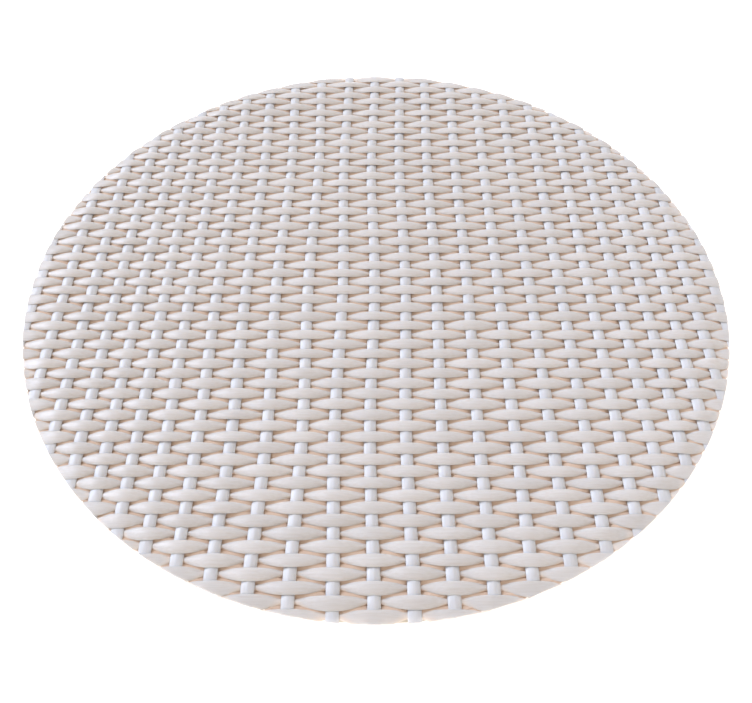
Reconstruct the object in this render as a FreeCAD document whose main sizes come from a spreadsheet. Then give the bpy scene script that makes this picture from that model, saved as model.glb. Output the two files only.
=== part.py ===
"""Round seat pad: a panel of woven resin cane on a backing cloth, a foam core and a non-slip base.

Millimetres. The origin is the middle of the underside and +Z is up. The stakes run along Y and the
weavers along X.
"""
import FreeCAD
import Part
import Sketcher
import math
import os

from FreeCAD import Placement, Rotation, Vector

# The driving sizes. Each goes into a cell of the sheet under its own name.
SIZES = {
    # The woven panel
    "pad_diameter": 400.0,  # every strand is cut off by this circle
    "rows_each_side": 30,  # weavers in front of the centre row, and as many behind it
    "row_clearance": 0.36,  # between neighbouring weavers
    "weaver_thickness": 1.5,
    "stakes_left": 13,  # stakes to the left of the one in the widest spacing
    "stakes_right": 11,  # stakes to the right of it
    "stake_width": 6.2,
    "stake_height": 1.8,
    "stake_drift": 6.0,  # how far the uneven spacing carries a stake from its even place
    "drift_ripple": 1.2,  # a second drift, twice as fast, that closes up the closest stakes
    "drift_stakes": 18,  # stakes from one widest spacing to the next
    "crossing_clearance": 0.1,  # between a weaver and the stakes that it crosses
    # The layers under the panel
    "layer_clearance": 0.05,
    "cloth_thickness": 0.5,
    "cloth_inset": 1.0,  # how far the cloth stops short of the panel's edge
    "foam_thickness": 5.0,
    "foam_inset": 2.5,
    "foam_edge_radius": 1.2,
    "base_thickness": 1.2,
    "base_inset": 4.0,
}

# A weaver's bend radius over a stake, as a share of the largest that fits between the two closest stakes.
BEND_SHARE = 0.9
# How far a strand runs past the trimming circle, and the trimming disc past the panel's faces.
TRIM_MARGIN = 2.0
# The rows fill the circle from front to back.
ROW_PITCH = "Sizes.pad_diameter / (2 * Sizes.rows_each_side + 1)"


def add_sheet(doc):
    """The spreadsheet of driving sizes, one named cell each."""
    sheet = doc.addObject("Spreadsheet::Sheet", "Sizes")
    for row, (name, value) in enumerate(SIZES.items(), start=1):
        sheet.set(f"A{row}", name)
        sheet.set(f"B{row}", str(value))
        sheet.setAlias(f"B{row}", name)
    doc.recompute()
    return sheet


class Weave:
    """Where the rows, the stakes and the layers lie, worked out from the sheet."""

    def __init__(self, sheet):
        self.sheet = sheet
        self.rows = int(sheet.rows_each_side)
        self.left = int(sheet.stakes_left)
        self.right = int(sheet.stakes_right)
        # The outermost stakes lie just inside the trimming circle, which sets the pitch and the offset.
        reach = (sheet.pad_diameter - sheet.stake_width) / 2
        spread = 2 * reach + self.drift(-self.left) - self.drift(self.right)
        self.stake_pitch = spread / (self.left + self.right)
        self.offset = reach - self.right * self.stake_pitch - self.drift(self.right)
        # A weaver's centre line rises this far above the stakes' middle, and sinks as far below it.
        self.swing = (sheet.stake_height + sheet.weaver_thickness) / 2 + sheet.crossing_clearance
        self.cloth_z = sheet.base_thickness + sheet.foam_thickness + 2 * sheet.layer_clearance
        panel_z = self.cloth_z + sheet.cloth_thickness + sheet.layer_clearance
        self.middle_z = panel_z + self.swing + sheet.weaver_thickness / 2

    def drift(self, number):
        """How far stake `number` stands from its even place."""
        turn = 2 * math.pi * number / self.sheet.drift_stakes
        return self.sheet.stake_drift * math.sin(turn) - self.sheet.drift_ripple * math.sin(2 * turn)

    def stake_x(self, number):
        """Where stake `number` stands. Number 0 is in the middle of the widest spacing."""
        return self.offset + self.stake_pitch * number + self.drift(number)

    def crossings(self):
        """The stakes' numbers in order, with one more past each edge, where a weaver would bend next."""
        return range(-self.left - 1, self.right + 2)

    def bend_radius(self):
        """The radius of a weaver's centre line over a stake."""
        places = [self.stake_x(number) for number in self.crossings()]
        closest = min(after - before for before, after in zip(places, places[1:]))
        largest = (closest**2 + 4 * self.swing**2) / (8 * self.swing)
        return BEND_SHARE * largest


def passes_over(row, number):
    """True where the weaver in a row lies on top of a stake. Even rows lie on the odd stakes."""
    return (row + number) % 2 == 1


def outline_edges(weave, row, offset):
    """One long edge of a weaver's side view: arcs over and under the stakes, joined by tangent lines.

    offset is the edge's distance above the centre line, and negative below it.
    """
    places = [weave.stake_x(number) for number in weave.crossings()]
    sides = [1 if passes_over(row, number) else -1 for number in weave.crossings()]
    bend = weave.bend_radius()
    rise = bend - weave.swing
    # The slope of the straight run between each two crossings, tangent to both bends.
    slopes = []
    for before, after in zip(places, places[1:]):
        gap = after - before
        slopes.append(math.atan2(gap, 2 * rise) - math.acos(2 * bend / math.hypot(gap, 2 * rise)))
    slopes = [slopes[0]] + slopes + [slopes[-1]]
    edges = []
    last = None
    for index, (place, side) in enumerate(zip(places, sides)):
        radius = bend + side * offset
        middle = Vector(place, -side * rise, 0)
        start, crown, end = (
            middle + Vector(radius * math.sin(angle), side * radius * math.cos(angle), 0)
            for angle in (-slopes[index], 0, slopes[index + 1])
        )
        if last is not None:
            edges.append(Part.LineSegment(last, start))
        edges.append(Part.Arc(start, crown, end))
        last = end
    return edges


def add_wave(doc, name, weave, row):
    """A sketch of a row's side view in the XZ plane, at the level of the stakes' middle."""
    half = weave.sheet.weaver_thickness / 2
    top = outline_edges(weave, row, half)
    bottom = outline_edges(weave, row, -half)
    caps = [
        Part.LineSegment(bottom[0].StartPoint, top[0].StartPoint),
        Part.LineSegment(top[-1].EndPoint, bottom[-1].EndPoint),
    ]
    sketch = doc.addObject("Sketcher::SketchObject", name)
    sketch.Placement = Placement(Vector(0, 0, weave.middle_z), Rotation(Vector(1, 0, 0), 90))
    sketch.addGeometry(top + bottom + caps, False)
    return sketch


def add_trim(doc, weave):
    """The round disc that every strand is cut to."""
    disc = doc.addObject("Part::Cylinder", "trim_disc")
    depth = 2 * weave.swing + weave.sheet.weaver_thickness + 2 * TRIM_MARGIN
    disc.setExpression("Radius", "Sizes.pad_diameter / 2")
    disc.Height = depth
    disc.Placement = Placement(Vector(0, 0, weave.middle_z - depth / 2), Rotation())
    return disc


def trimmed(doc, name, strand, trim):
    """A strand cut to the pad's circle."""
    common = doc.addObject("Part::Common", name)
    common.Base = strand
    common.Tool = trim
    return common


def origin_plane(body, role):
    """One of a body's own origin planes."""
    return next(plane for plane in body.Origin.OriginFeatures if plane.Role == role)


def add_stake(doc, name, weave, trim, place):
    """A straight oval rod along Y."""
    body = doc.addObject("PartDesign::Body", name + "_rod")
    section = body.newObject("Sketcher::SketchObject", name + "_section")
    section.AttachmentSupport = (origin_plane(body, "XZ_Plane"), "")
    section.MapMode = "FlatFace"
    sheet = weave.sheet
    oval = section.addGeometry(Part.Ellipse(Vector(), sheet.stake_width / 2, sheet.stake_height / 2), False)
    section.exposeInternalGeometry(oval)
    across, upright = oval + 1, oval + 2
    section.addConstraint(Sketcher.Constraint("Coincident", oval, 3, -1, 1))
    section.addConstraint(Sketcher.Constraint("Horizontal", across))
    for line, size in ((across, "stake_width"), (upright, "stake_height")):
        index = section.addConstraint(Sketcher.Constraint("Distance", line, getattr(sheet, size)))
        section.renameConstraint(index, size)
        section.setExpression(f"Constraints.{size}", f"Sizes.{size}")
    rod = body.newObject("PartDesign::Pad", name + "_length")
    rod.Profile = section
    rod.SideType = "Symmetric"
    rod.setExpression("Length", f"Sizes.pad_diameter + {2 * TRIM_MARGIN}")
    body.Placement = Placement(Vector(place, 0, weave.middle_z), Rotation())
    return trimmed(doc, name, body, trim)


def add_weaver(doc, name, wave, trim, row):
    """A flat strip that waves over and under the stakes, in one row. Row 0 is the centre row."""
    strip = doc.addObject("Part::Extrusion", name + "_strip")
    strip.Base = wave
    strip.DirMode = "Custom"
    strip.Dir = Vector(0, 1, 0)
    strip.Solid = True
    strip.Symmetric = True
    strip.setExpression("LengthFwd", f"{ROW_PITCH} - Sizes.row_clearance")
    strip.setExpression("Placement.Base.y", f"{ROW_PITCH} * {row}")
    return trimmed(doc, name, strip, trim)


def add_weaver_pair(doc, name, wave, trim, row):
    """The two rows that lie equally far behind and in front of the centre row, as mirror images."""
    behind = add_weaver(doc, name + "_behind", wave, trim, row)
    front = doc.addObject("Part::Mirroring", name + "_front")
    front.Source = behind
    front.Normal = Vector(0, 1, 0)
    pair = doc.addObject("Part::Compound", name)
    pair.Links = [behind, front]
    return pair


def add_layer(doc, name, sheet, thickness, inset, level, edge_radius=None):
    """A round layer under the panel. Its sizes are names of cells; level is the height of its underside."""
    body = doc.addObject("PartDesign::Body", name)
    outline = body.newObject("Sketcher::SketchObject", name + "_outline")
    outline.AttachmentSupport = (origin_plane(body, "XY_Plane"), "")
    outline.MapMode = "FlatFace"
    outline.addGeometry(Part.Circle(Vector(), Vector(0, 0, 1), sheet.pad_diameter / 2), False)
    outline.addConstraint(Sketcher.Constraint("Coincident", 0, 3, -1, 1))
    index = outline.addConstraint(Sketcher.Constraint("Radius", 0, sheet.pad_diameter / 2))
    outline.renameConstraint(index, "radius")
    outline.setExpression("Constraints.radius", f"Sizes.pad_diameter / 2 - Sizes.{inset}")
    slab = body.newObject("PartDesign::Pad", name + "_slab")
    slab.Profile = outline
    slab.setExpression("Length", f"Sizes.{thickness}")
    if edge_radius:
        doc.recompute()
        rims = [
            f"Edge{number}"
            for number, edge in enumerate(slab.Shape.Edges, start=1)
            if isinstance(edge.Curve, Part.Circle)
        ]
        rounded = body.newObject("PartDesign::Fillet", name + "_rounded")
        rounded.Base = (slab, rims)
        rounded.setExpression("Radius", f"Sizes.{edge_radius}")
        body.Tip = rounded
    body.Placement = Placement(Vector(0, 0, level), Rotation())
    return body


def build(doc):
    """Every sub-part, by the name of its node."""
    sheet = add_sheet(doc)
    weave = Weave(sheet)
    trim = add_trim(doc, weave)
    foam_z = sheet.base_thickness + sheet.layer_clearance
    layers = [
        ("grip_base", "base_thickness", "base_inset", 0.0),
        ("foam_core", "foam_thickness", "foam_inset", foam_z, "foam_edge_radius"),
        ("backing_cloth", "cloth_thickness", "cloth_inset", weave.cloth_z),
    ]
    parts = {name: add_layer(doc, name, sheet, *sizes) for name, *sizes in layers}
    for count, number in enumerate(range(-weave.left, weave.right + 1), start=1):
        name = f"stake_{count:02d}"
        parts[name] = add_stake(doc, name, weave, trim, weave.stake_x(number))
    # A weaver passes over the stakes that its neighbours pass under, so two side views serve every row.
    waves = [add_wave(doc, "wave_even_rows", weave, 0), add_wave(doc, "wave_odd_rows", weave, 1)]
    parts["weaver_centre"] = add_weaver(doc, "weaver_centre", waves[0], trim, 0)
    for row in range(1, weave.rows + 1):
        name = f"weaver_pair_{row:02d}"
        parts[name] = add_weaver_pair(doc, name, waves[row % 2], trim, row)
    return parts


def check(doc, parts):
    """Stops the script if an object failed or a sub-part isn't a sound solid."""
    doc.recompute()
    for thing in doc.Objects:
        if {"Invalid", "Error"} & set(thing.State):
            raise RuntimeError(f"{thing.Label} failed: {thing.State}")
    for name, part in parts.items():
        solids = 2 if "pair" in name else 1
        if part.Shape.isNull() or not part.Shape.isValid() or len(part.Shape.Solids) != solids:
            raise RuntimeError(f"{name} isn't {solids} sound solid(s)")


def main():
    """Builds the pad and writes each sub-part to its own file."""
    doc = FreeCAD.newDocument("seat_pad")
    parts = build(doc)
    check(doc, parts)
    os.makedirs("parts", exist_ok=True)
    for name, part in parts.items():
        part.Label = name
        part.Shape.exportStep(f"parts/{name}.step")
    volume = sum(part.Shape.Volume for part in parts.values()) / 1000
    print(f"{len(parts)} nodes, {volume:.0f} cubic centimetres")


main()
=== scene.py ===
"""A round seat pad: white resin cane in a plain weave, on a tan cloth, a foam core and a non-slip base.

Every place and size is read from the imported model, or is a named size of the piece that it belongs to.
Lengths are metres, except where a name ends in _mm.
"""
import logging
import math
from dataclasses import dataclass, field
from enum import Enum
from typing import Any

import bpy
import numpy as np
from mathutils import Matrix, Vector


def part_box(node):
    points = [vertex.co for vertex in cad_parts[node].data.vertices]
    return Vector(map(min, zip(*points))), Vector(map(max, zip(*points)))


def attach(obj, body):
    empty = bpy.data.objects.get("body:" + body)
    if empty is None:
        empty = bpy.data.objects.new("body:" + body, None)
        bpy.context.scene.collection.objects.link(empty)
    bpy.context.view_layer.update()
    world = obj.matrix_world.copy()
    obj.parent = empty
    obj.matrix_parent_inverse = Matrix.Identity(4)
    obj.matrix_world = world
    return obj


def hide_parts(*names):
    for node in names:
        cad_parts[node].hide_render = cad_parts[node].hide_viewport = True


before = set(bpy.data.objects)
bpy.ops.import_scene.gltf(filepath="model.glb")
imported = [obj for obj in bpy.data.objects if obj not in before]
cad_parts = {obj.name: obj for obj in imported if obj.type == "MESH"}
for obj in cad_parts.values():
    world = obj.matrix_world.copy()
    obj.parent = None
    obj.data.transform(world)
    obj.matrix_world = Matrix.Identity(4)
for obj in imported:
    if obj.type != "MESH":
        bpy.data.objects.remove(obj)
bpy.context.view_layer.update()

BODY = "root"
MM = 0.001
PLAIN_TONE = 0.5

log = logging.getLogger("seat_pad")


# --------------------------------------------------------------------------------------------------
# Node helpers
# --------------------------------------------------------------------------------------------------
def linear(hex_colour: str) -> tuple[float, float, float, float]:
    """Turns an sRGB colour into the linear colour that a shader works in.

    Args:
        hex_colour: The colour as "#rrggbb".

    Returns:
        Linear red, green and blue, and an alpha of 1.
    """
    parts = (int(hex_colour[start:start + 2], 16) / 255 for start in (1, 3, 5))
    red, green, blue = (c / 12.92 if c <= 0.04045 else ((c + 0.055) / 1.055) ** 2.4 for c in parts)
    return red, green, blue, 1.0


def add_node(tree: bpy.types.NodeTree, kind: str, settings: dict[str, Any] | None = None,
             **inputs: Any) -> bpy.types.Node:
    """Adds a node, sets it up and links what feeds it.

    Args:
        tree: The node tree that the node goes in.
        kind: The node's type name, without the "ShaderNode" in front.
        settings: The node's own properties, by name.
        **inputs: What each input holds: a value, or the output socket that feeds it. An input is named
            by its label with underscores for spaces, or as input_0, input_1 and so on.

    Returns:
        The new node.
    """
    node = tree.nodes.new("ShaderNode" + kind)
    for name, value in (settings or {}).items():
        setattr(node, name, value)
    for name, value in inputs.items():
        number = name.removeprefix("input_")
        socket = node.inputs[int(number) if number.isdigit() else name.replace("_", " ")]
        if isinstance(value, bpy.types.NodeSocket):
            tree.links.new(value, socket)
        else:
            socket.default_value = value
    return node


def new_material(name: str) -> tuple[bpy.types.Material, bpy.types.NodeTree, bpy.types.Node]:
    """Starts a node material.

    Args:
        name: The material's name.

    Returns:
        The material, its node tree and its principled shader.
    """
    material = bpy.data.materials.new(name)
    material.use_nodes = True
    return material, material.node_tree, material.node_tree.nodes["Principled BSDF"]


class GrainAxis(Enum):
    """The way that a strand runs, which its drawn grain follows."""

    WEAVER = 0
    STAKE = 1


# --------------------------------------------------------------------------------------------------
# Finishes
# --------------------------------------------------------------------------------------------------
@dataclass(frozen=True)
class ResinCane:
    """Extruded polyethylene cane, pigmented white: satin, with fine lines drawn along it by the die.

    The crowns look a cool white. Towards the bottom of the weave the colour is mixed towards a lighter,
    warm tint: painted warm bounce light, standing in for light that bounces between the strands.
    """

    axis: GrainAxis
    low_z: float
    high_z: float
    crown: str = "#d1d2d5"
    # Painted warm bounce light: the tint that the low parts of every strand are mixed towards.
    painted_recess_bounce: str = "#ecdacb"
    streak: str = "#c0bdbb"
    translucency: float = 0.6
    scatter_mm: float = 1.8
    scatter_share: tuple[float, float, float] = (1.0, 0.86, 0.74)
    roughness: float = 0.42
    roughness_drop: float = 0.06
    roughness_rise: float = 0.08
    ior: float = 1.51
    # Real die lines are about 0.2 mm apart. They are drawn coarser, so that they show.
    line_pitch_mm: float = 0.55
    line_length_mm: float = 22.0
    line_depth_mm: float = 0.05
    line_relief: float = 0.6
    cloud_mm: float = 9.0
    cloud_range: float = 0.06
    tone_range: float = 0.1

    def material(self) -> bpy.types.Material:
        """Makes the material."""
        material, tree, shader = new_material(f"resin_cane_{self.axis.name.lower()}")
        place = add_node(tree, "TexCoord").outputs["Object"]
        scale = [1 / (self.line_pitch_mm * MM)] * 3
        scale[self.axis.value] = 1 / (self.line_length_mm * MM)
        drawn = add_node(tree, "Mapping", Vector=place, Scale=scale).outputs["Vector"]
        lines = add_node(tree, "TexNoise", Vector=drawn, Scale=1.0, Detail=2.0,
                         Roughness=0.6).outputs["Fac"]
        cloud = add_node(tree, "TexNoise", Vector=place, Scale=1 / (self.cloud_mm * MM),
                         Detail=2.0).outputs["Fac"]
        height = add_node(tree, "SeparateXYZ", Vector=place).outputs["Z"]
        # Painted warm bounce light: from high_z down to low_z the colour is mixed towards the warm tint.
        painted_bounce_mask = add_node(tree, "MapRange", {"interpolation_type": "SMOOTHSTEP"}, Value=height,
                         From_Min=self.low_z, From_Max=self.high_z).outputs["Result"]
        tone = add_node(tree, "Attribute", {"attribute_name": "tone"}).outputs["Fac"]
        streaks = add_node(tree, "Mix", {"data_type": "RGBA"}, input_0=lines,
                           input_6=linear(self.crown), input_7=linear(self.streak)).outputs[2]
        painted_bounce_colour = add_node(tree, "Mix", {"data_type": "RGBA"}, input_0=painted_bounce_mask, input_6=linear(self.painted_recess_bounce),
                        input_7=streaks).outputs[2]
        shade = add_node(tree, "Math", {"operation": "MULTIPLY_ADD"}, input_0=tone,
                         input_1=self.tone_range, input_2=1 - self.tone_range / 2)
        mottle = add_node(tree, "Math", {"operation": "MULTIPLY_ADD"}, input_0=cloud,
                          input_1=self.cloud_range, input_2=shade.outputs[0])
        toned = add_node(tree, "HueSaturation", Color=painted_bounce_colour, Value=mottle.outputs[0]).outputs["Color"]
        tree.links.new(toned, shader.inputs["Base Color"])
        gloss = add_node(tree, "MapRange", Value=lines, To_Min=self.roughness - self.roughness_drop,
                         To_Max=self.roughness + self.roughness_rise)
        tree.links.new(gloss.outputs["Result"], shader.inputs["Roughness"])
        shader.inputs["IOR"].default_value = self.ior
        shader.inputs["Subsurface Weight"].default_value = self.translucency
        shader.inputs["Subsurface Radius"].default_value = self.scatter_share
        shader.inputs["Subsurface Scale"].default_value = self.scatter_mm * MM
        bump = add_node(tree, "Bump", Strength=self.line_relief, Distance=self.line_depth_mm * MM,
                        Height=lines)
        tree.links.new(bump.outputs["Normal"], shader.inputs["Normal"])
        return material


@dataclass(frozen=True)
class ScrimCloth:
    """Plain-woven cotton scrim, tan, calendered flat: matte, with the square grid of its threads."""

    light: str = "#d8c2b1"
    dark: str = "#c5ae9c"
    thread_pitch_mm: float = 0.9
    thread_depth_mm: float = 0.1
    thread_relief: float = 0.7
    slub_mm: float = 3.0
    slub_share: float = 0.5
    roughness: float = 0.92
    sheen: float = 0.2

    def material(self) -> bpy.types.Material:
        """Makes the material."""
        material, tree, shader = new_material("scrim_cloth")
        place = add_node(tree, "TexCoord").outputs["Object"]
        turns = 2 * math.pi / (self.thread_pitch_mm * MM)
        axes = add_node(tree, "SeparateXYZ", Vector=place).outputs
        waves = []
        for axis in ("X", "Y"):
            angle = add_node(tree, "Math", {"operation": "MULTIPLY"}, input_0=axes[axis], input_1=turns)
            wave = add_node(tree, "Math", {"operation": "SINE"}, input_0=angle.outputs[0])
            waves.append(wave.outputs[0])
        grid = add_node(tree, "Math", {"operation": "MULTIPLY"}, input_0=waves[0],
                        input_1=waves[1]).outputs[0]
        thread = add_node(tree, "MapRange", Value=grid, From_Min=-1.0, From_Max=1.0).outputs["Result"]
        slub = add_node(tree, "TexNoise", Vector=place, Scale=1 / (self.slub_mm * MM),
                        Detail=3.0).outputs["Fac"]
        mixed = add_node(tree, "Math", {"operation": "MULTIPLY_ADD"}, input_0=slub,
                         input_1=self.slub_share, input_2=thread).outputs[0]
        share = add_node(tree, "MapRange", Value=mixed,
                         From_Max=1 + self.slub_share).outputs["Result"]
        colour = add_node(tree, "Mix", {"data_type": "RGBA"}, input_0=share, input_6=linear(self.dark),
                          input_7=linear(self.light)).outputs[2]
        tree.links.new(colour, shader.inputs["Base Color"])
        shader.inputs["Roughness"].default_value = self.roughness
        shader.inputs["Sheen Weight"].default_value = self.sheen
        bump = add_node(tree, "Bump", Strength=self.thread_relief,
                        Distance=self.thread_depth_mm * MM, Height=thread)
        tree.links.new(bump.outputs["Normal"], shader.inputs["Normal"])
        return material


@dataclass(frozen=True)
class CellFoam:
    """Fine open-cell polyurethane foam, cut from sheet: pale and dull, pitted by its open cells."""

    light: str = "#cdc4b4"
    dark: str = "#b1a796"
    cell_mm: float = 0.7
    pit_depth_mm: float = 0.15
    pit_relief: float = 0.5
    roughness: float = 0.88

    def material(self) -> bpy.types.Material:
        """Makes the material."""
        material, tree, shader = new_material("cell_foam")
        place = add_node(tree, "TexCoord").outputs["Object"]
        cells = add_node(tree, "TexVoronoi", Vector=place,
                         Scale=1 / (self.cell_mm * MM)).outputs["Distance"]
        colour = add_node(tree, "Mix", {"data_type": "RGBA"}, input_0=cells, input_6=linear(self.dark),
                          input_7=linear(self.light)).outputs[2]
        tree.links.new(colour, shader.inputs["Base Color"])
        shader.inputs["Roughness"].default_value = self.roughness
        bump = add_node(tree, "Bump", Strength=self.pit_relief, Distance=self.pit_depth_mm * MM,
                        Height=cells)
        tree.links.new(bump.outputs["Normal"], shader.inputs["Normal"])
        return material


@dataclass(frozen=True)
class GripRubber:
    """Thermoplastic rubber sheet, moulded with grip dots: a warm grey, between matte and satin."""

    light: str = "#a49d93"
    dark: str = "#8d867c"
    fleck_mm: float = 1.2
    fleck_depth_mm: float = 0.05
    fleck_relief: float = 0.3
    roughness: float = 0.62

    def material(self) -> bpy.types.Material:
        """Makes the material."""
        material, tree, shader = new_material("grip_rubber")
        place = add_node(tree, "TexCoord").outputs["Object"]
        fleck = add_node(tree, "TexNoise", Vector=place, Scale=1 / (self.fleck_mm * MM),
                         Detail=4.0).outputs["Fac"]
        colour = add_node(tree, "Mix", {"data_type": "RGBA"}, input_0=fleck, input_6=linear(self.dark),
                          input_7=linear(self.light)).outputs[2]
        tree.links.new(colour, shader.inputs["Base Color"])
        shader.inputs["Roughness"].default_value = self.roughness
        bump = add_node(tree, "Bump", Strength=self.fleck_relief, Distance=self.fleck_depth_mm * MM,
                        Height=fleck)
        tree.links.new(bump.outputs["Normal"], shader.inputs["Normal"])
        return material


# --------------------------------------------------------------------------------------------------
# Meshes
# --------------------------------------------------------------------------------------------------
@dataclass
class Shell:
    """Points and faces of a mesh in the making.

    Args:
        points: One row of x, y and z for each point.
        faces: The point numbers of each face.
        tone: How light each point's pigment is, from 0 to 1.
    """

    points: np.ndarray
    faces: list[tuple[int, ...]]
    tone: np.ndarray

    @staticmethod
    def joined(shells: list["Shell"]) -> "Shell":
        """Puts several shells into one, each still closed by itself."""
        points, faces, tones, start = [], [], [], 0
        for shell in shells:
            points.append(shell.points)
            tones.append(shell.tone)
            faces.extend(tuple(corner + start for corner in face) for face in shell.faces)
            start += len(shell.points)
        return Shell(np.concatenate(points), faces, np.concatenate(tones))


def add_piece(name: str, shell: Shell, material: bpy.types.Material, nodes: list[str],
              sharp_deg: float = 50.0) -> bpy.types.Object:
    """Makes a piece from a shell, dresses it and sets it on the pad's body.

    Args:
        name: The piece's name.
        shell: Its points and faces.
        material: Its finish.
        nodes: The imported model's nodes that the piece stands for.
        sharp_deg: Edges that turn by more than this stay sharp.

    Returns:
        The new object.
    """
    mesh = bpy.data.meshes.new(name)
    mesh.from_pydata(shell.points.tolist(), [], shell.faces)
    mesh.validate()
    mesh.shade_smooth()
    mesh.set_sharp_from_angle(angle=math.radians(sharp_deg))
    if len(shell.tone) == len(mesh.vertices):
        tone = mesh.attributes.new("tone", "FLOAT", "POINT")
        tone.data.foreach_set("value", shell.tone.astype(np.float32))
    mesh.materials.append(material)
    piece = bpy.data.objects.new(name, mesh)
    bpy.context.scene.collection.objects.link(piece)
    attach(piece, BODY)
    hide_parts(*nodes)
    return piece


@dataclass(frozen=True)
class Weave:
    """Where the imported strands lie, read from their boxes.

    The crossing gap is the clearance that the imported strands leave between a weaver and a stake.
    """

    radius: float
    middle_z: float
    top_z: float
    row_pitch: float
    rows: int
    stake_places: tuple[float, ...]
    stake_width: float
    stake_height: float
    crossing_gap: float = 0.1 * MM
    wander_size: float = 1.3 * MM
    wander_core: float = 10 * MM
    wander_reach: float = 80 * MM
    wander_length: float = 202 * MM

    @classmethod
    def read(cls) -> "Weave":
        """Reads the frame."""
        low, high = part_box("weaver_centre")
        strip = high.y - low.y
        rows = sum(name.startswith("weaver_pair_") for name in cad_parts)
        stakes = [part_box(name) for name in sorted(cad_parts) if name.startswith("stake_")]
        stake_low, stake_high = stakes[len(stakes) // 2]
        return cls(
            radius=high.x,
            middle_z=(stake_low.z + stake_high.z) / 2,
            top_z=high.z,
            row_pitch=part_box("weaver_pair_01")[1].y - strip / 2,
            rows=rows,
            stake_places=tuple((a.x + b.x) / 2 for a, b in stakes),
            stake_width=stake_high.x - stake_low.x,
            stake_height=stake_high.z - stake_low.z,
        )

    @property
    def thickness(self) -> float:
        """A weaver's thickness: what is left of the panel's height above a stake and its gap."""
        return self.top_z - self.middle_z - self.stake_height / 2 - self.crossing_gap

    def crossings(self, level: float) -> np.ndarray:
        """The places along a row where it crosses the stakes, with one more past each side of the pad.

        Args:
            level: How far the row lies behind the pad's middle.

        Returns:
            The crossings, in rising order.
        """
        places = np.array(self.stake_places)
        places = places + self.wander(places, level)
        before = 2 * places[0] - places[1]
        after = 2 * places[-1] - places[-2]
        return np.concatenate([[before], places, [after]])

    def wander(self, place: float | np.ndarray, level: float | np.ndarray) -> float | np.ndarray:
        """How far a stake has strayed from its straight line.

        The stakes beside the widest spacing stray most: apart, together, and apart again along their
        length.

        Args:
            place: The stake's place from side to side.
            level: The place along the stake.

        Returns:
            The distance, towards +X.
        """
        places = np.array(self.stake_places)
        widest = int(np.argmax(np.diff(places)))
        offset = place - (places[widest] + places[widest + 1]) / 2
        beside = np.tanh(offset / self.wander_core) * np.exp(-((offset / self.wander_reach) ** 2))
        return self.wander_size * beside * np.cos(2 * math.pi * level / self.wander_length)

    def sides(self, row: int) -> np.ndarray:
        """+1 where a row lies over a crossing and -1 where it lies under it."""
        order = np.arange(-1, len(self.stake_places) + 1)
        return np.where((row + order) % 2 == 0, 1.0, -1.0)


def eased(at: np.ndarray, places: np.ndarray, values: np.ndarray) -> np.ndarray:
    """Values between places, blended by a cosine so that each place is a crest or a level stretch.

    Args:
        at: Where the values are wanted.
        places: Where they are known, in rising order.
        values: The known values.

    Returns:
        One value for each point of at.
    """
    index = np.clip(np.searchsorted(places, at) - 1, 0, len(places) - 2)
    share = np.clip((at - places[index]) / (places[index + 1] - places[index]), 0, 1)
    blend = (1 - np.cos(math.pi * share)) / 2
    return values[index] * (1 - blend) + values[index + 1] * blend


@dataclass
class Strand:
    """A strand's course: at each station along it, the middle of its section and the section's size.

    Args:
        along: The stations, in rising order.
        across: The middle's place across the strand.
        height: The middle's height.
        half_width: Half the section's width.
        top_depth: How far the section's top lies above its widest line.
        bottom_depth: How far its bottom lies below that line.
        roll: How far the section is turned about the strand, in radians.
        tone: How light the pigment is, from 0 to 1.
    """

    along: np.ndarray
    across: np.ndarray
    height: np.ndarray
    half_width: np.ndarray
    top_depth: float
    bottom_depth: float
    roll: np.ndarray
    tone: np.ndarray

    def shell(self, radius: float, lanes: int, flutes: int, flute_depth: float, fullness: float,
              phase: float, runs_along_y: bool) -> Shell:
        """Sweeps the section along the course and cuts the strand off where it leaves the pad's circle.

        Args:
            radius: The circle's radius.
            lanes: Points round the section, an even number.
            flutes: Shallow ridges round the section.
            flute_depth: How deep they are.
            fullness: The section's power: 1 is an ellipse, less is fuller, and more falls away to its
                sides.
            phase: The turn of the flutes, in radians.
            runs_along_y: True for a stake, which runs along Y.

        Returns:
            The strand as a closed shell.
        """
        angle = 2 * math.pi * np.arange(lanes) / lanes
        side = np.sign(np.cos(angle)) * np.abs(np.cos(angle)) ** fullness
        rise = np.sign(np.sin(angle)) * np.abs(np.sin(angle)) ** fullness
        flute = flute_depth * np.cos(flutes * angle + phase)
        wide = self.half_width[:, None] * side + flute * np.cos(angle)
        deep = np.where(rise > 0, self.top_depth, self.bottom_depth) * rise + flute * np.sin(angle)
        deep = np.tile(deep, (len(self.along), 1))
        turn_cos, turn_sin = np.cos(self.roll)[:, None], np.sin(self.roll)[:, None]
        wide, deep = wide * turn_cos - deep * turn_sin, wide * turn_sin + deep * turn_cos
        slope = np.arctan(np.gradient(self.height, self.along))[:, None]
        along = self.along[:, None] - deep * np.sin(slope)
        across = self.across[:, None] + wide
        height = self.height[:, None] + deep * np.cos(slope)
        # What lies outside the circle is drawn back onto it, which makes the clean cut face.
        reach = np.hypot(along, across)
        pull = np.minimum(1.0, radius / np.maximum(reach, 1e-9))
        along, across = along * pull, across * pull
        if runs_along_y:
            points = np.stack([across, along, height], axis=-1)
        else:
            points = np.stack([along, across, height], axis=-1)
        stations = len(self.along)
        faces = []
        for station in range(stations - 1):
            a, b = station * lanes, (station + 1) * lanes
            for lane in range(lanes):
                after = (lane + 1) % lanes
                faces.append((a + lane, b + lane, b + after, a + after))
        for start, flip in ((0, False), ((stations - 1) * lanes, True)):
            for lane in range(lanes // 2):
                corners = [start + lane, start + lane + 1, start + (lanes - lane - 1) % lanes,
                           start + (lanes - lane) % lanes]
                corners = list(dict.fromkeys(corners))
                if len(corners) > 2:
                    faces.append(tuple(corners[::-1] if flip else corners))
        if not runs_along_y:
            faces = [face[::-1] for face in faces]
        return Shell(points.reshape(-1, 3), faces, np.repeat(self.tone, lanes))


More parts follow.
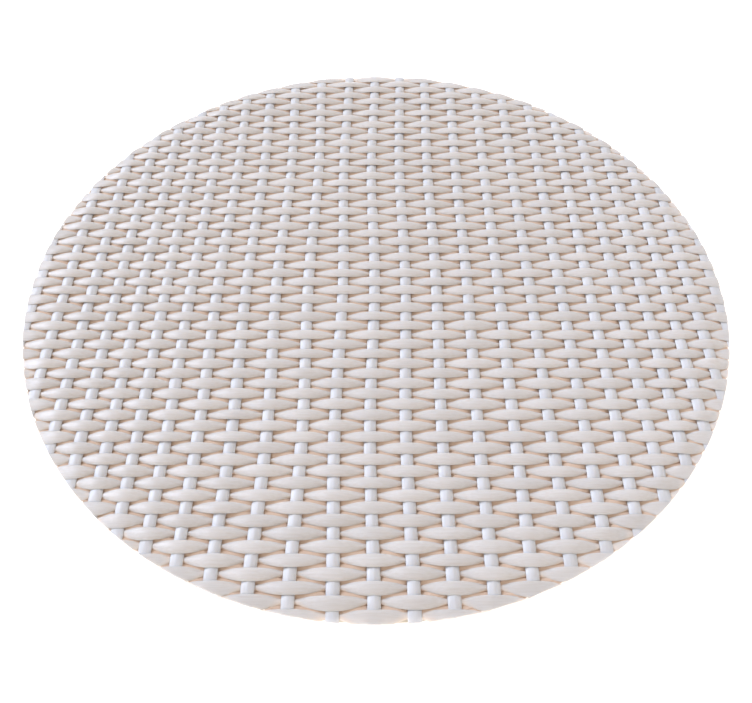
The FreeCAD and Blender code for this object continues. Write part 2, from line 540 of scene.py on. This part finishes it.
def stations(radius: float, across: float, half_width: float, step: float, fine: float) -> np.ndarray:
    """The stations along a strand, closer together where the circle cuts it.

    Args:
        radius: The circle's radius.
        across: How far the strand's middle lies from the circle's.
        half_width: Half the strand's greatest width.
        step: The usual distance between stations.
        fine: The distance between them along the cut.

    Returns:
        The stations, in rising order, the same both ways from the middle.
    """
    nearest, furthest = max(0.0, abs(across) - half_width), min(radius, abs(across) + half_width)
    end = math.sqrt(radius**2 - nearest**2)
    cut = max(0.0, math.sqrt(radius**2 - furthest**2) - fine)
    plain = np.linspace(0.0, cut, max(2, math.ceil(cut / step) + 1))
    close = np.linspace(cut, end, max(2, math.ceil((end - cut) / fine) + 1))
    # Stations less than a tenth of a micrometre apart are one station.
    half = np.unique(np.round(np.concatenate([plain, close, [end + fine]]), 7))
    return np.concatenate([-half[:0:-1], half])


@dataclass
class WovenPanel:
    """The woven panel: straight oval stakes, and flatter weavers that wave over and under them.

    Sizes are of the real strands. A weaver is squeezed narrow where it dives under a stake, between
    its neighbours' crowns, and spreads where it lies on top. Near the rim the hot cut presses every
    strand flatter, and every weaver wider. The slips are how unevenly a loom sets the strands. A tone
    slip is how one strand's pigment differs from the next, and a tone drift is how it changes along it.
    """

    weave: Weave
    crown_width: float = 6.65 * MM
    dive_width: float = 2.6 * MM
    bluntness: float = 2.2
    swell: float = 1.2
    crest: float = 0.7
    stake_bow: float = 0.45 * MM
    contact_gap: float = 0.08 * MM
    lean: float = 0.55 * MM
    lift: float = 0.05 * MM
    rim_width: float = 12 * MM
    rim_squash: float = 0.6
    rim_drop: float = 0.9 * MM
    rim_spread: float = 0.2
    width_slip: float = 0.03
    side_slip: float = 0.14 * MM
    lift_slip: float = 0.08 * MM
    roll_slip: float = 0.06
    weaver_lanes: int = 28
    weaver_step: float = 1.5 * MM
    weaver_flutes: int = 9
    weaver_flute_depth: float = 0.045 * MM
    weaver_fullness: float = 1.12
    weaver_tone: float = 0.5
    weaver_tone_slip: float = 0.16
    weaver_tone_drift: float = 0.22
    stake_lanes: int = 20
    stake_step: float = 1.6 * MM
    stake_flutes: int = 7
    stake_flute_depth: float = 0.04 * MM
    stake_fullness: float = 1.4
    stake_tone: float = 0.6
    stake_tone_slip: float = 0.15
    stake_tone_drift: float = 0.06
    cut_step: float = 0.5 * MM
    seed: int = 7
    rng: np.random.Generator = field(init=False)

    def __post_init__(self) -> None:
        """Seeds the slips."""
        self.rng = np.random.default_rng(self.seed)

    @property
    def thickness(self) -> float:
        """A weaver's thickness at its thickest."""
        return self.weave.thickness * self.swell

    @property
    def swing(self) -> float:
        """How far the middle of a weaver's thickness rises and sinks from the stakes' middle."""
        return self.weave.stake_height / 2 - self.stake_bow + self.contact_gap + self.thickness / 2

    @property
    def middle_z(self) -> float:
        """The height that every strand waves about."""
        return self.weave.middle_z + self.lift

    def weaver(self, row: int) -> Shell:
        """Shapes the weaver of one row.

        Args:
            row: The row's number: 0 is the middle row, and a negative one lies in front of it.

        Returns:
            The weaver's shell.
        """
        weave, rng = self.weave, self.rng
        middle = row * weave.row_pitch
        places, sides = weave.crossings(middle), weave.sides(row)
        along = stations(weave.radius, middle, self.crown_width / 2, self.weaver_step, self.cut_step)
        wave = eased(along, places, sides)
        # The share of the way along from a dive to a crown. It makes a float a lens with blunt tips.
        share = np.arccos(np.clip(-wave, -1, 1)) / math.pi
        width = np.maximum(self.dive_width, self.crown_width * (1 - (1 - share) ** self.bluntness))
        count = len(places)
        lift = np.abs(rng.normal(0, self.lift_slip, count)) * (sides > 0)
        width = width * (1 + eased(along, places, rng.normal(0, self.width_slip, count)))
        width = width * (1 + self.rim_spread * self.rim_share(np.hypot(along, middle)))
        strand = Strand(
            along=along,
            across=middle - self.lean * wave
            + eased(along, places, rng.normal(0, self.side_slip, count)),
            height=self.middle_z + self.swing * wave - self.thickness * (self.crest - 0.5)
            + eased(along, places, lift),
            half_width=width / 2,
            top_depth=self.thickness * self.crest,
            bottom_depth=self.thickness * (1 - self.crest),
            roll=eased(along, places, rng.normal(0, self.roll_slip, count)),
            tone=np.clip(self.weaver_tone + rng.normal(0, self.weaver_tone_slip)
                         + eased(along, places, rng.normal(0, self.weaver_tone_drift, count)), 0, 1),
        )
        shell = strand.shell(weave.radius, self.weaver_lanes, self.weaver_flutes,
                             self.weaver_flute_depth, self.weaver_fullness,
                             phase=rng.uniform(0, 2 * math.pi), runs_along_y=False)
        shell.points = self.pressed(shell.points)
        return shell

    def rim_share(self, reach: np.ndarray) -> np.ndarray:
        """How far into the pressed rim each distance from the pad's middle lies, eased from 0 to 1."""
        share = np.clip(1 - (self.weave.radius - reach) / self.rim_width, 0, 1)
        return share**2 * (3 - 2 * share)

    def pressed(self, points: np.ndarray) -> np.ndarray:
        """Presses what lies near the rim flatter, as the hot cut leaves it.

        Args:
            points: Rows of x, y and z. Only z changes.

        Returns:
            The pressed points.
        """
        squash = 1 - self.rim_squash * self.rim_share(np.hypot(points[..., 0], points[..., 1]))
        level = self.middle_z - self.rim_drop
        height = level + (points[..., 2] - level) * squash
        return np.concatenate([points[..., :2], height[..., None]], axis=-1)

    @property
    def rim_z(self) -> float:
        """The height that the pressed rim is centred on."""
        return self.middle_z - self.rim_drop * self.rim_squash

    def underside(self, row: int, along: np.ndarray) -> np.ndarray:
        """Finds how low the strands reach under one row.

        Args:
            row: The row's number.
            along: The places along it, in rising order.

        Returns:
            The height just under the weaver, or under the stake where that is lower.
        """
        weave = self.weave
        places = weave.crossings(row * weave.row_pitch)
        wave = eased(along, places, weave.sides(row))
        under_weaver = self.middle_z + self.swing * wave - self.thickness / 2
        under_stake = self.middle_z - self.stake_bow - weave.stake_height / 2
        apart = np.abs(along[:, None] - places).min(axis=1)
        at_stake = apart < weave.stake_width / 2 + self.contact_gap
        lowest = np.where(at_stake, np.minimum(under_weaver, under_stake), under_weaver)
        return lowest - self.contact_gap

    def stake(self, index: int) -> Shell:
        """Shapes one stake.

        Args:
            index: The stake's place in order from the left, from 0.

        Returns:
            The stake's shell.
        """
        weave, rng = self.weave, self.rng
        middle = weave.stake_places[index]
        along = stations(weave.radius, middle, weave.stake_width / 2, self.stake_step, self.cut_step)
        rows = np.arange(-weave.rows - 1, weave.rows + 2)
        # A stake bows up where a weaver dives under it, and is held down where one lies on it.
        under = np.where((rows + index) % 2 == 0, -1.0, 1.0)
        places = rows * weave.row_pitch + self.lean * under
        count = len(rows)
        strand = Strand(
            along=along,
            across=middle + weave.wander(middle, along),
            height=self.middle_z + self.stake_bow * eased(along, places, under)
            - weave.stake_height * (self.crest - 0.5),
            half_width=weave.stake_width / 2
            * (1 + eased(along, places, rng.normal(0, self.width_slip, count))),
            top_depth=weave.stake_height * self.crest,
            bottom_depth=weave.stake_height * (1 - self.crest),
            roll=np.zeros(len(along)),
            tone=np.clip(self.stake_tone + rng.normal(0, self.stake_tone_slip)
                         + eased(along, places, rng.normal(0, self.stake_tone_drift, count)), 0, 1),
        )
        shell = strand.shell(weave.radius, self.stake_lanes, self.stake_flutes,
                             self.stake_flute_depth, self.stake_fullness,
                             phase=rng.uniform(0, 2 * math.pi), runs_along_y=True)
        shell.points = self.pressed(shell.points)
        return shell

    def build(self) -> None:
        """Makes every strand of the panel."""
        weave = self.weave
        low_z = self.middle_z - self.swing
        # Both finishes paint warm bounce light on the low parts of the strands, from low_z upwards.
        weaver_finish = ResinCane(GrainAxis.WEAVER, low_z, self.middle_z).material()
        stake_finish = ResinCane(GrainAxis.STAKE, low_z, self.middle_z - self.stake_bow,
                                 crown="#ced2d9", streak="#c3c7ce").material()
        add_piece("cane_row_centre", self.weaver(0), weaver_finish, ["weaver_centre"])
        for row in range(1, weave.rows + 1):
            pair = Shell.joined([self.weaver(-row), self.weaver(row)])
            add_piece(f"cane_rows_{row:02d}", pair, weaver_finish,
                      [f"weaver_pair_{row:02d}"])
        for index in range(len(weave.stake_places)):
            add_piece(f"cane_stake_{index + 1:02d}", self.stake(index), stake_finish,
                      [f"stake_{index + 1:02d}"])
        log.info("woven panel: %d weavers and %d stakes", 2 * weave.rows + 1, len(weave.stake_places))


def turned(profile: list[tuple[float, float]], turns: int) -> Shell:
    """Turns a profile about the pad's axis into a closed round shell.

    Args:
        profile: Radius and height of each point, from the axis at the bottom, out, up and back to it.
        turns: Points round the circle.

    Returns:
        The shell, with one point at each end of the axis.
    """
    angle = 2 * math.pi * np.arange(turns) / turns
    rings = [np.stack([r * np.cos(angle), r * np.sin(angle), np.full(turns, z)], axis=-1)
             for r, z in profile[1:-1]]
    points = np.concatenate([[[0.0, 0.0, profile[0][1]]], *rings, [[0.0, 0.0, profile[-1][1]]]])
    last = len(points) - 1
    faces = []
    for turn in range(turns):
        after = (turn + 1) % turns
        faces.append((0, 1 + after, 1 + turn))
        for ring in range(len(rings) - 1):
            a, b = 1 + ring * turns, 1 + (ring + 1) * turns
            faces.append((a + turn, a + after, b + after, b + turn))
        top = 1 + (len(rings) - 1) * turns
        faces.append((top + turn, top + after, last))
    return Shell(points, faces, np.full(len(points), PLAIN_TONE))


def sheet_shell(top: np.ndarray, thickness: float) -> Shell:
    """Closes a grid of points into a sheet of even thickness.

    Args:
        top: The points of the top face, as lines of points.
        thickness: How far the bottom face lies under it.

    Returns:
        The sheet as a closed shell.
    """
    lines, columns = top.shape[:2]
    count = lines * columns
    points = np.concatenate([top.reshape(-1, 3), top.reshape(-1, 3) - [0, 0, thickness]])
    number = np.arange(count).reshape(lines, columns)
    quads = np.stack([number[:-1, :-1], number[:-1, 1:], number[1:, 1:], number[1:, :-1]], axis=-1)
    quads = quads.reshape(-1, 4)
    rim = np.concatenate([number[0, :-1], number[:-1, -1], number[-1, :0:-1], number[:0:-1, 0]])
    after = np.roll(rim, -1)
    walls = np.stack([rim, rim + count, after + count, after], axis=-1)
    faces = np.concatenate([quads, quads[:, ::-1] + count, walls])
    return Shell(points, [tuple(face) for face in faces.tolist()], np.full(2 * count, PLAIN_TONE))


@dataclass
class Underlay:
    """What lies under the panel: the backing cloth, the foam core and the non-slip base.

    The bulge is how far the cloth stands up between two rows, and the spread is how far it is pressed
    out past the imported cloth's edge. The swell is how far the foam rises to meet it. The ring share is
    where a round face has its inner ring of points, and the dot's shares are of its radius and height.
    """

    rounding: float = 1.2 * MM
    swell: float = 0.2 * MM
    bulge: float = 0.75 * MM
    spread: float = 0.4 * MM
    cloth_columns: int = 241
    cloth_margin: float = 0.5 * MM
    dot_pitch: float = 7.0 * MM
    dot_radius: float = 1.6 * MM
    dot_height: float = 0.35 * MM
    dot_root: float = 0.1 * MM
    dot_flat_share: float = 0.6
    dot_shoulder_share: float = 0.9
    dot_shoulder_rise: float = 0.35
    dot_turns: int = 10
    base_edge: float = 0.15 * MM
    edge_steps: int = 12
    ring_share: float = 0.5
    turns: int = 240

    def cloth(self, panel: WovenPanel) -> bpy.types.Object:
        """Lays the backing cloth on the foam, pressed up into the hollows between the strands.

        Args:
            panel: The woven panel that the cloth is glued to.

        Returns:
            The cloth.
        """
        low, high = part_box("backing_cloth")
        radius, thickness = high.x + self.spread, high.z - low.z
        half_pitch = panel.weave.row_pitch / 2
        last = int((radius - self.cloth_margin) / half_pitch)
        lines = []
        for step in range(-last, last + 1):
            level = step * half_pitch
            along = np.linspace(-1, 1, self.cloth_columns) * math.sqrt(radius**2 - level**2)
            height = panel.underside(step // 2, along)
            if step % 2:
                # Between two rows the foam pushes the cloth up.
                height = (height + panel.underside(step // 2 + 1, along)) / 2 + self.bulge
            lines.append(np.stack([along, np.full_like(along, level), height], axis=-1))
        piece = add_piece("scrim_cloth", sheet_shell(panel.pressed(np.array(lines)), thickness),
                          ScrimCloth().material(), ["backing_cloth"])
        return piece

    def foam(self) -> bpy.types.Object:
        """Makes the foam core, rounded at its edge and swollen up to the cloth."""
        low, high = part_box("foam_core")
        radius, top = high.x, high.z + self.swell
        middle, half = (low.z + top) / 2, (top - low.z) / 2
        ring = radius * self.ring_share
        profile = [(0, low.z), (ring, low.z)]
        for step in range(self.edge_steps + 1):
            angle = math.pi * (step / self.edge_steps - 0.5)
            out = radius - self.rounding + self.rounding * math.cos(angle)
            profile.append((out, middle + half * math.sin(angle)))
        profile += [(ring, top), (0, top)]
        piece = add_piece("foam_pad", turned(profile, self.turns), CellFoam().material(),
                          ["foam_core"])
        return piece

    def base(self) -> bpy.types.Object:
        """Makes the non-slip sheet with its grip dots, which reach down to what the pad lies on."""
        low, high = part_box("grip_base")
        radius, skin = high.x, low.z + self.dot_height
        ring, edge = radius * self.ring_share, self.base_edge
        profile = [(0, skin), (ring, skin), (radius - edge, skin), (radius, skin + edge),
                   (radius, high.z - edge), (radius - edge, high.z), (ring, high.z), (0, high.z)]
        shells = [turned(profile, self.turns)]
        steps = int(radius / self.dot_pitch) + 1
        for row in range(-steps, steps + 1):
            for column in range(-steps, steps + 1):
                x = (column + (row % 2) / 2) * self.dot_pitch
                y = row * self.dot_pitch * math.sqrt(3) / 2
                if math.hypot(x, y) < radius - 2 * self.dot_radius:
                    shells.append(self.dot(x, y, low.z, skin))
        return add_piece("grip_sheet", Shell.joined(shells), GripRubber().material(),
                         ["grip_base"])

    def dot(self, x: float, y: float, low: float, high: float) -> Shell:
        """One low domed dot, set a little into the sheet."""
        root = high + self.dot_root
        profile = [(0, low), (self.dot_radius * self.dot_flat_share, low),
                   (self.dot_radius * self.dot_shoulder_share,
                    low + self.dot_height * self.dot_shoulder_rise),
                   (self.dot_radius, root), (0, root)]
        shell = turned(profile, self.dot_turns)
        shell.points = shell.points + np.array([x, y, 0.0])
        return shell

    def build(self, panel: WovenPanel) -> None:
        """Makes the three layers under a panel."""
        self.foam()
        self.cloth(panel)
        self.base()
        log.info("underlay: backing cloth, foam core and non-slip base")


@dataclass(frozen=True)
class Studio:
    """A plain white floor, broad soft light from above, and the camera.

    The floor glows a little, as a lit sweep does, so that it stays white beside the pad. The camera's
    distance and height are multiples of the pad's radius.
    """

    floor_white: str = "#fbfbfb"
    camera_back: float = 1.5929
    camera_up: float = 1.7912
    pitch_deg: float = 53.19
    lens_mm: float = 39.10
    sensor_mm: float = 36.0
    wall_colour: str = "#ffffff"
    ceiling_colour: str = "#fff2e5"
    wall_strength: float = 1.08
    ceiling_strength: float = 0.69
    floor_glow: float = 0.55
    floor_roughness: float = 0.9
    floor_half: float = 60.0
    floor_gap: float = 0.02 * MM
    wall_top: float = 0.3
    ceiling_edge: float = 0.6
    lamps: tuple[tuple[str, float, float, float, float, str], ...] = (
        # name, azimuth it comes from, elevation, how wide it looks (all degrees), strength, colour
        ("key", 152.0, 32.0, 36.0, 2.55, "#e2ebff"),
        ("fill", 300.0, 45.0, 60.0, 0.45, "#ffe6cf"),
    )

    def build(self, radius: float, rim_z: float) -> None:
        """Makes the floor, the lights and the camera.

        Args:
            radius: The pad's radius.
            rim_z: The height of its rim.
        """
        self.floor()
        self.lights()
        self.camera(radius, rim_z)
        log.info("studio: floor, lights and camera")

    def floor(self) -> None:
        """Lays the floor just under the pad."""
        mesh = bpy.data.meshes.new("studio_floor")
        corners = [(-1, -1), (1, -1), (1, 1), (-1, 1)]
        places = [(x * self.floor_half, y * self.floor_half, -self.floor_gap) for x, y in corners]
        mesh.from_pydata(places, [], [(0, 1, 2, 3)])
        material, _, shader = new_material("studio_floor")
        shader.inputs["Base Color"].default_value = linear(self.floor_white)
        shader.inputs["Roughness"].default_value = self.floor_roughness
        shader.inputs["Emission Color"].default_value = (1.0, 1.0, 1.0, 1.0)
        shader.inputs["Emission Strength"].default_value = self.floor_glow
        mesh.materials.append(material)
        floor = bpy.data.objects.new("studio_floor", mesh)
        bpy.context.scene.collection.objects.link(floor)

    def lights(self) -> None:
        """Lights the pad softly from all round, from above and behind its left, and from the front."""
        scene = bpy.context.scene
        scene.view_settings.view_transform = "Standard"
        world = bpy.data.worlds.new("studio")
        world.use_nodes = True
        tree = world.node_tree
        direction = add_node(tree, "TexCoord").outputs["Generated"]
        height = add_node(tree, "SeparateXYZ", Vector=direction).outputs["Z"]
        # White walls up to about 20 degrees above the floor, and a dimmer, warmer ceiling.
        strength = add_node(tree, "MapRange", Value=height, From_Min=self.wall_top,
                            From_Max=self.ceiling_edge, To_Min=self.wall_strength,
                            To_Max=self.ceiling_strength)
        share = add_node(tree, "MapRange", Value=height, From_Min=self.wall_top,
                         From_Max=self.ceiling_edge).outputs["Result"]
        colour = add_node(tree, "Mix", {"data_type": "RGBA"}, input_0=share,
                          input_6=linear(self.wall_colour),
                          input_7=linear(self.ceiling_colour)).outputs[2]
        background = tree.nodes["Background"]
        tree.links.new(colour, background.inputs["Color"])
        tree.links.new(strength.outputs["Result"], background.inputs["Strength"])
        scene.world = world
        for name, azimuth, elevation, width, strength, colour in self.lamps:
            lamp = bpy.data.lights.new(name, "SUN")
            lamp.angle = math.radians(width)
            lamp.energy = strength
            lamp.color = linear(colour)[:3]
            sun = bpy.data.objects.new(name, lamp)
            around, up = math.radians(azimuth), math.radians(elevation)
            level = math.cos(up)
            towards = Vector((math.cos(around) * level, math.sin(around) * level, math.sin(up)))
            sun.rotation_euler = towards.to_track_quat("Z", "Y").to_euler()
            scene.collection.objects.link(sun)

    def camera(self, radius: float, rim_z: float) -> None:
        """Sets the camera in front of the pad, looking down on it.

        Args:
            radius: The pad's radius, which the camera's distance is a multiple of.
            rim_z: The height that the camera's own is counted from.
        """
        data = bpy.data.cameras.new("camera")
        data.sensor_width = self.sensor_mm
        data.lens = self.lens_mm
        camera = bpy.data.objects.new("camera", data)
        camera.location = (0.0, -self.camera_back * radius, rim_z + self.camera_up * radius)
        camera.rotation_euler = (math.radians(90 - self.pitch_deg), 0.0, 0.0)
        bpy.context.scene.collection.objects.link(camera)
        bpy.context.scene.camera = camera


def main() -> None:
    """Builds the pad and its studio."""
    logging.basicConfig(level=logging.INFO, format="%(name)s: %(message)s")
    weave = Weave.read()
    panel = WovenPanel(weave)
    panel.build()
    Underlay().build(panel)
    Studio().build(weave.radius, panel.rim_z)


if __name__ == "__main__":
    main()
